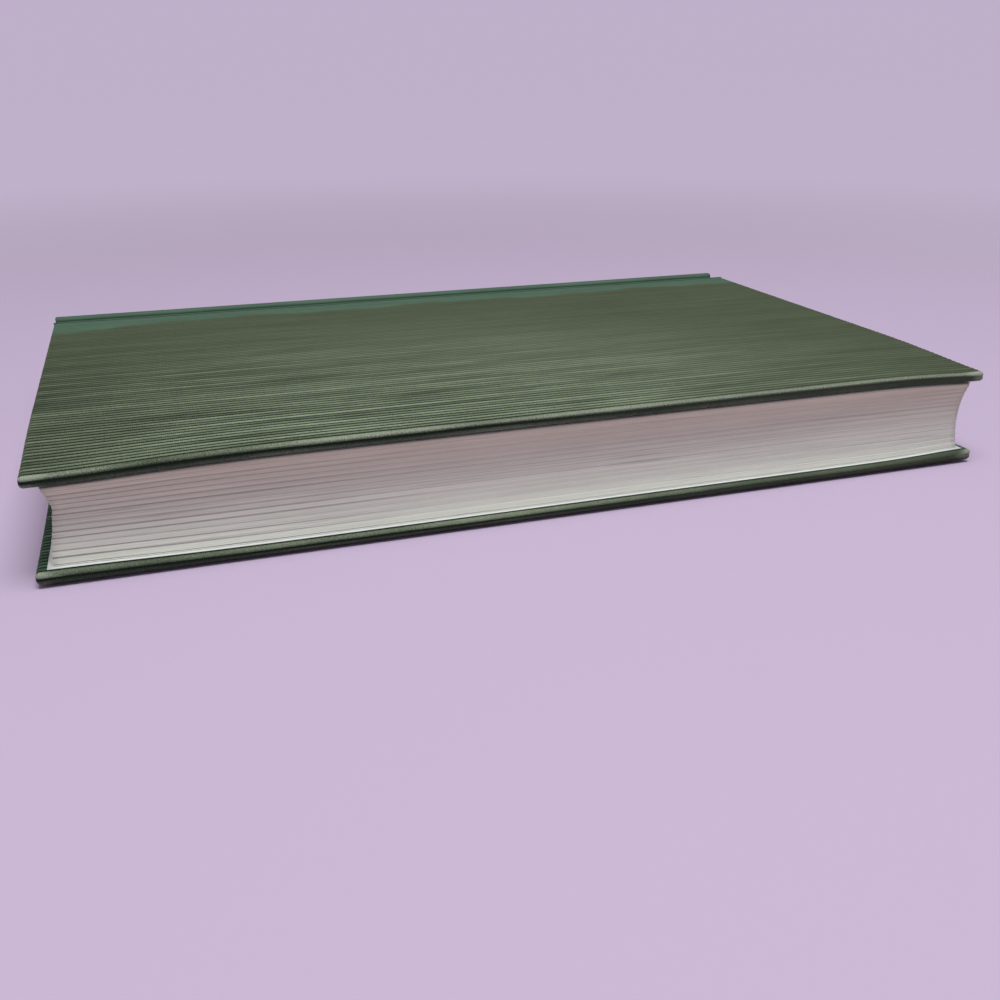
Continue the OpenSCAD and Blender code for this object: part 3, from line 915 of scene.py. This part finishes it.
lot = node(weave, "Attribute", attribute_name="lot").outputs["Fac"]
painted_roll_shade = node(weave, "Attribute", attribute_name="shade").outputs["Fac"]
speckle = noise(weave, stretch(weave, lie, (1.0, 1.6, 1.0)), 2.2, 3.0, 0.7)
own_line = node(weave, "CombineXYZ", {0: along, 1: math_node(weave, "MULTIPLY", lot, 970.0)}).outputs[0]
yarn = noise(weave, stretch(weave, own_line, (0.028, 1.0, 1.0)), 1.0, 2.0)
slub = noise(weave, stretch(weave, own_line, (0.3, 1.0, 1.0)), 1.0, 2.0)
patch = noise(weave, place, 22.0, 3.0)
phase = math_node(weave, "MULTIPLY_ADD", along, 2 * math.pi / 0.42, math_node(weave, "MULTIPLY", speckle, 5.0))
thread = math_node(weave, "MULTIPLY_ADD", math_node(weave, "SINE", phase), 0.5, 0.5)
mottle = math_node(weave, "MULTIPLY_ADD", math_node(weave, "SUBTRACT", speckle, 0.5), 0.8, faded)
mottle = math_node(weave, "MULTIPLY_ADD", math_node(weave, "SUBTRACT", yarn, 0.5), 0.6, mottle)
# painted light: the outer olive is palest near the middle of the fore-edge and turns to a painted shade further off
from_painted_light = node(weave, "VectorMath", {0: stretch(weave, place, (0.85, 1.15, 0.0)), 1: (-0.03, -0.092, 0.0)}, operation="DISTANCE")
outer = mix_colour(weave, ramp(weave, from_painted_light.outputs["Value"], 0.0, 0.142), given["Faded"], given["Painted_far_shade"])
axes = node(weave, "SeparateXYZ", {0: place}).outputs
# far: towards the head and the back the painted furrow shade and the tone streaks are weakened
far = ramp(weave, math_node(weave, "MULTIPLY_ADD", axes[0], 0.45, axes[1]), -0.1, 0.02)
base = mix_colour(weave, ramp(weave, mottle, 0.2, 0.8), given["Fresh"], outer)
light = math_node(weave, "MULTIPLY_ADD", speckle, 1.9, 0.05)
light = math_node(weave, "MULTIPLY", light, ramp(weave, yarn, 0.3, 0.7, 0.8, 1.15))
light = math_node(weave, "MULTIPLY", light, ramp(weave, slub, 0.3, 0.7, 0.92, 1.08))
light = math_node(weave, "MULTIPLY", light, math_node(weave, "MULTIPLY_ADD", lot, 0.24, 0.88))
light = math_node(weave, "MULTIPLY", light, ramp(weave, patch, 0.3, 0.7, 0.94, 1.05))
light = math_node(weave, "MULTIPLY", light, math_node(weave, "MULTIPLY_ADD", thread, 0.14, 0.93))
strong = math_node(weave, "MULTIPLY_ADD", far, -0.72, 1.0)
light = math_node(weave, "MULTIPLY_ADD", math_node(weave, "SUBTRACT", light, 1.0), strong, 1.0)
tinted = node(weave, "VectorMath", {0: base, "Scale": light}, operation="SCALE").outputs[0]
# depth sets how much of the painted furrow shade, with some deeper dye, shows between the crests
fill = math_node(weave, "MULTIPLY_ADD", speckle, 0.2, math_node(weave, "MULTIPLY_ADD", yarn, 0.5, cord))
depth = ramp(weave, fill, 0.76, 1.36)
depth = math_node(weave, "MULTIPLY_ADD", math_node(weave, "SUBTRACT", 1.0, depth), math_node(weave, "MULTIPLY", far, 0.7), depth)
# painted shade: the shade mark pushes the edge's roll towards the furrow colour
depth = math_node(weave, "MULTIPLY", depth, math_node(weave, "MULTIPLY_ADD", painted_roll_shade, -0.45, 1.0))
toned = mix_colour(weave, depth, given["Furrow"], tinted)
rub = math_node(weave, "MULTIPLY", ramp(weave, math_node(weave, "MULTIPLY_ADD", speckle, 0.7, worn), 0.62, 1.15), depth)
put_colour = mix_colour(weave, rub, toned, given["Rubbed"])
weave.links.new(put_colour, put["Colour"])
weave.links.new(ramp(weave, speckle, 0.2, 0.8, 0.8, 0.95), put["Roughness"])
weave.links.new(math_node(weave, "MULTIPLY_ADD", thread, 0.5, speckle), put["Height"])


# %% Cloth materials
def cloth_material(name, outer, fresh, furrow, rubbed, sheen):
    material, tree, shader = new_material(name)
    values = {"Faded": outer[0], "Painted_far_shade": outer[1], "Fresh": fresh, "Furrow": furrow, "Rubbed": rubbed}
    made = place_group(tree, weave, values)
    tree.links.new(made.outputs["Colour"], shader.inputs["Base Color"])
    tree.links.new(made.outputs["Roughness"], shader.inputs["Roughness"])
    tree.links.new(bump(tree, made.outputs["Height"], 0.0002, 0.8), shader.inputs["Normal"])
    shader.inputs["Specular IOR Level"].default_value = 0.12
    shader.inputs["Sheen Weight"].default_value = sheen
    shader.inputs["Sheen Roughness"].default_value = 0.5
    shader.inputs["Sheen Tint"].default_value = (0.8, 0.9, 0.75, 1)
    return material


# olive: the faded colour where the painted light is, and its painted shade further off
olive = ((0.256, 0.312, 0.211, 1), (0.092, 0.115, 0.070, 1))
sea_green = (0.098, 0.176, 0.122, 1)
# furrow colour: painted shade with some deeper dye
painted_furrow_shade = (0.012, 0.022, 0.012, 1)
rubbed_thread = (0.37, 0.42, 0.325, 1)
cover_material = cloth_material("corded_cloth_faded", olive, sea_green, painted_furrow_shade, rubbed_thread, 0.02)
joint_material = cloth_material("corded_cloth_fresh", olive, sea_green, painted_furrow_shade, rubbed_thread, 0.02)

# %% [markdown]
# The cut edge of a block of leaves is fine parallel lines: each leaf is a tenth of a millimetre
# of paper with a thin shadow beside it. Noise that is stretched some thousand times along the
# leaves draws them, on the fore-edge as on head and tail, and a mark on the mesh paints shade
# into the furrow between two gatherings and onto the top leaves under the cover. The paper is
# coloured darker and pinker towards the top of the pile, partly as its own tone and partly as
# painted shade under the upper cover, and almost white in the lowest leaves.

# %% Cut leaves group
leaves, given, put = new_group(
    "cut_leaves",
    {"Top": (0.6, 0.5, 0.5, 1), "Bottom": (0.7, 0.7, 0.6, 1), "Low": 0.0, "High": 1.0},
    {"Colour": COLOUR, "Height": FLOAT},
)
place = node(leaves, "TexCoord").outputs["Object"]
height_here = node(leaves, "SeparateXYZ", {0: place}).outputs[2]
seam = node(leaves, "Attribute", attribute_name="seam").outputs["Fac"]
single_leaf = noise(leaves, stretch(leaves, place, (2.6, 2.6, 6400.0)), 1.0, 2.0, 0.6)
section = noise(leaves, stretch(leaves, place, (1.2, 1.2, 900.0)), 1.0, 1.0)
split = noise(leaves, stretch(leaves, place, (5.0, 5.0, 2100.0)), 1.0, 0.0)
foxing = noise(leaves, stretch(leaves, place, (60.0, 60.0, 420.0)), 1.0, 3.0)
share = node(leaves, "MapRange", {0: height_here, 1: given["Low"], 2: given["High"]}, interpolation_type="SMOOTHSTEP").outputs[0]
base = mix_colour(leaves, share, given["Bottom"], given["Top"])
shade = ramp(leaves, single_leaf, 0.28, 0.72, 0.88, 1.06)
shade = math_node(leaves, "MULTIPLY", shade, ramp(leaves, section, 0.3, 0.7, 0.93, 1.04))
gap = ramp(leaves, math_node(leaves, "ABSOLUTE", math_node(leaves, "SUBTRACT", split, 0.5)), 0.0, 0.03, 0.78, 1.0)
shade = math_node(leaves, "MULTIPLY", shade, gap)
shade = math_node(leaves, "MULTIPLY", shade, ramp(leaves, foxing, 0.3, 0.7, 0.97, 1.02))
# painted shade in the furrows between gatherings and on the top leaves under the cover
shade = math_node(leaves, "MULTIPLY", shade, math_node(leaves, "MULTIPLY_ADD", seam, -0.5, 1.0))
toned = node(leaves, "VectorMath", {0: base, "Scale": shade}, operation="SCALE").outputs[0]
leaves.links.new(toned, put["Colour"])
leaves.links.new(math_node(leaves, "MULTIPLY_ADD", gap, 0.8, single_leaf), put["Height"])

# %% Page material
page_material, tree, shader = new_material("cut_pages")
made = place_group(tree, leaves, {
    # darker towards the top: partly the paper's own tone, partly painted shade under the upper cover
    "Top": (0.72, 0.675, 0.512, 1),
    "Bottom": (0.85, 0.883, 0.77, 1),
    "Low": back_face_z * MM,
    "High": face_z * MM,
})
tree.links.new(made.outputs["Colour"], shader.inputs["Base Color"])
tree.links.new(bump(tree, made.outputs["Height"], 0.00004, 0.5), shader.inputs["Normal"])
shader.inputs["Roughness"].default_value = 0.9
shader.inputs["Specular IOR Level"].default_value = 0.2

# %% [markdown]
# Paper, board and gauze are plain sheets. One group gives them all a faint cloud of fibres at
# two sizes, with the strength as an input: hardly any for endpapers, a lot for grey board.

# %% Paper fibres group
fibres, given, put = new_group(
    "paper_fibres",
    {"Tone": (0.8, 0.8, 0.8, 1), "Cloud": 0.05, "Size": 900.0},
    {"Colour": COLOUR, "Height": FLOAT},
)
place = node(fibres, "TexCoord").outputs["Object"]
fine = noise(fibres, place, given["Size"], 4.0, 0.65)
broad = noise(fibres, place, 60.0, 2.0)
cloud = math_node(fibres, "SUBTRACT", math_node(fibres, "MULTIPLY_ADD", fine, 0.7, math_node(fibres, "MULTIPLY", broad, 0.3)), 0.5)
tone = math_node(fibres, "MULTIPLY_ADD", cloud, given["Cloud"], 1.0)
# painted shadow: darkens the sheet where the mesh mark is set
dust = node(fibres, "Attribute", attribute_name="dust").outputs["Fac"]
tone = math_node(fibres, "MULTIPLY", tone, math_node(fibres, "SUBTRACT", 1.0, dust))
fibres.links.new(node(fibres, "VectorMath", {0: given["Tone"], "Scale": tone}, operation="SCALE").outputs[0], put["Colour"])
fibres.links.new(fine, put["Height"])


def sheet_material(name, tone, cloud, size, depth, roughness=0.85):
    material, tree, shader = new_material(name)
    made = place_group(tree, fibres, {"Tone": tone, "Cloud": cloud, "Size": size})
    tree.links.new(made.outputs["Colour"], shader.inputs["Base Color"])
    tree.links.new(bump(tree, made.outputs["Height"], depth, 0.5), shader.inputs["Normal"])
    shader.inputs["Roughness"].default_value = roughness
    shader.inputs["Specular IOR Level"].default_value = 0.25
    return material


endpaper_material = sheet_material("endpaper", (0.83, 0.87, 0.83, 1), 0.1, 1500.0, 0.00002)
board_material = sheet_material("millboard", (0.33, 0.27, 0.19, 1), 0.9, 700.0, 0.00008)
lining_material = sheet_material("lining_paper", (0.42, 0.3, 0.17, 1), 0.5, 1100.0, 0.00003)

# %% [markdown]
# Mull is an open gauze, stiff with glue. Two sets of fine threads cross at right angles, and
# the darker glue shows in the squares between them.

# %% Gauze and thread materials
mull_material, tree, shader = new_material("gauze")
made = place_group(tree, fibres, {"Tone": (0.74, 0.7, 0.58, 1), "Cloud": 0.4, "Size": 2500.0})
place = node(tree, "TexCoord").outputs["Object"]
axes = node(tree, "SeparateXYZ", {0: place}).outputs
crossing = [
    ramp(tree, math_node(tree, "SINE", math_node(tree, "MULTIPLY", axis, 2 * math.pi / 0.0011)), 0.1, 0.7)
    for axis in (axes[0], math_node(tree, "ADD", axes[1], axes[2]))
]
threads = math_node(tree, "MAXIMUM", crossing[0], crossing[1])
tree.links.new(mix_colour(tree, threads, (0.3, 0.24, 0.15, 1), made.outputs["Colour"]), shader.inputs["Base Color"])
tree.links.new(bump(tree, threads, 0.00008, 0.6), shader.inputs["Normal"])
shader.inputs["Roughness"].default_value = 0.8

thread_material, tree, shader = new_material("band_thread")
lie = node(tree, "UVMap", uv_map="cloth_place").outputs[0]
turn_number = node(tree, "SeparateXYZ", {0: lie}).outputs[0]
stripe = ramp(tree, math_node(tree, "SINE", math_node(tree, "MULTIPLY", turn_number, math.pi / 3)), -0.15, 0.15)
strand = noise(tree, stretch(tree, lie, (6.0, 1.2, 1.0)), 1.0, 2.0)
striped = mix_colour(tree, stripe, (0.07, 0.12, 0.08, 1), (0.66, 0.62, 0.48, 1))
tree.links.new(mix_colour(tree, 0.25, striped, node(tree, "CombineColor", {0: strand, 1: strand, 2: strand}).outputs[0]),
    shader.inputs["Base Color"])
tree.links.new(bump(tree, strand, 0.00005, 0.5), shader.inputs["Normal"])
shader.inputs["Roughness"].default_value = 0.55


# %% Dressing the pieces
def dress(piece, material):
    """Puts the material on every slot of the piece, adding a slot if it has none."""
    if not piece.material_slots:
        piece.data.materials.append(None)
    for place_on in piece.material_slots:
        place_on.material = material


for piece in (front_cloth, back_cloth):
    dress(piece, cover_material)
for piece in joint_pieces + turn_ins + [spine_cloth]:
    dress(piece, joint_material)
for piece in (front_board, back_board):
    dress(piece, board_material)
for piece in endpapers + hinge_papers:
    dress(piece, endpaper_material)
for piece in bands:
    dress(piece, thread_material)
dress(block, page_material)

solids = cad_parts
for names, material in (
    (("spine_inlay",), board_material),
    (("mull",), mull_material),
    (("spine_lining",), lining_material),
):
    for name in names:
        for place_on in solids[name].material_slots:
            place_on.material = material
print("materials:", len(bpy.data.materials), "groups:", len(bpy.data.node_groups))

# %% [markdown]
# The stage is a pale bowl: a flat floor that sweeps up all round into a low wall, so that the
# book has the same calm ground from every side. A profile turned about the Z axis makes it. The
# lamp's light thins out with distance, so beyond the book's shadow the camera, and nothing else,
# sees one plain tone that shines by itself: it has no shading, and adds no light to the book.

# %% Stage
flat_to, sweep_r, wall_to = 1.3, 0.5, 0.9
turn = np.linspace(0, 0.5 * np.pi, 17)
profile_r = np.concatenate([[0.001], flat_to + sweep_r * np.sin(turn), [flat_to + sweep_r]])
profile_z = np.concatenate([[0.0], sweep_r * (1 - np.cos(turn)), [wall_to]])
around = np.linspace(0, 2 * np.pi, 97)[:-1]
bowl = np.stack([
    profile_r[:, None] * np.cos(around),
    profile_r[:, None] * np.sin(around),
    np.broadcast_to(profile_z[:, None], (len(profile_z), len(around))),
], axis=-1)
floor_mesh = bpy.data.meshes.new("floor")
floor_mesh.from_pydata(bowl.reshape(-1, 3), [], quads(*bowl.shape[:2], closed=True)[:, ::-1])
floor_mesh.polygons.foreach_set("use_smooth", np.ones(len(floor_mesh.polygons), bool))
floor = bpy.data.objects.new("floor", floor_mesh)
bpy.context.scene.collection.objects.link(floor)
floor_material, tree, shader = new_material("pale_floor")
axes = node(tree, "SeparateXYZ", {0: node(tree, "TexCoord").outputs["Object"]}).outputs
away = math_node(tree, "SQRT", math_node(tree, "MULTIPLY_ADD", axes[0], axes[0], math_node(tree, "MULTIPLY", axes[1], axes[1])))
near_tone, far_tone = (0.563, 0.462, 0.636, 1), (0.74, 0.68, 0.78, 1)
lit_tone = mix_colour(tree, ramp(tree, away, 0.2, 1.0), near_tone, far_tone)
seen = math_node(tree, "MULTIPLY", ramp(tree, away, 0.28, 0.85), node(tree, "LightPath").outputs["Is Camera Ray"])
tree.links.new(mix_colour(tree, seen, lit_tone, (0, 0, 0, 1)), shader.inputs["Base Color"])
tree.links.new(seen, shader.inputs["Emission Strength"])
shader.inputs["Emission Color"].default_value = (0.52, 0.43, 0.585, 1)
shader.inputs["Roughness"].default_value = 0.95
shader.inputs["Specular IOR Level"].default_value = 0.1
floor_mesh.materials.append(floor_material)
print("floor flat to", flat_to, "m, wall up to", wall_to, "m")

# %% [markdown]
# The light is one wide soft lamp, high up and a little in front, with a pale sky all round as
# weak fill. The upper cover then keeps the lamp off the upper leaves, while the lower ones and
# the white endpaper below them are bright, as the paper of a lying book shows.

# %% Light
lamp_data = bpy.data.lights.new("window", "AREA")
lamp_data.shape = "RECTANGLE"
lamp_data.size = 0.7
lamp_data.size_y = 0.5
lamp_data.energy = 9.4
lamp = bpy.data.objects.new("window", lamp_data)
lamp.location = (0.0, -0.28, 1.05)
aim = -lamp.location
lamp.rotation_euler = aim.to_track_quat("-Z", "Y").to_euler()
bpy.context.scene.collection.objects.link(lamp)

world = bpy.data.worlds.new("pale_sky")
world.use_nodes = True
world.node_tree.nodes["Background"].inputs["Color"].default_value = (1.0, 0.985, 0.96, 1)
world.node_tree.nodes["Background"].inputs["Strength"].default_value = 0.31
bpy.context.scene.world = world
bpy.context.scene.view_settings.view_transform = "Standard"
print("lamp", lamp_data.energy, "W at", [round(v, 2) for v in lamp.location])
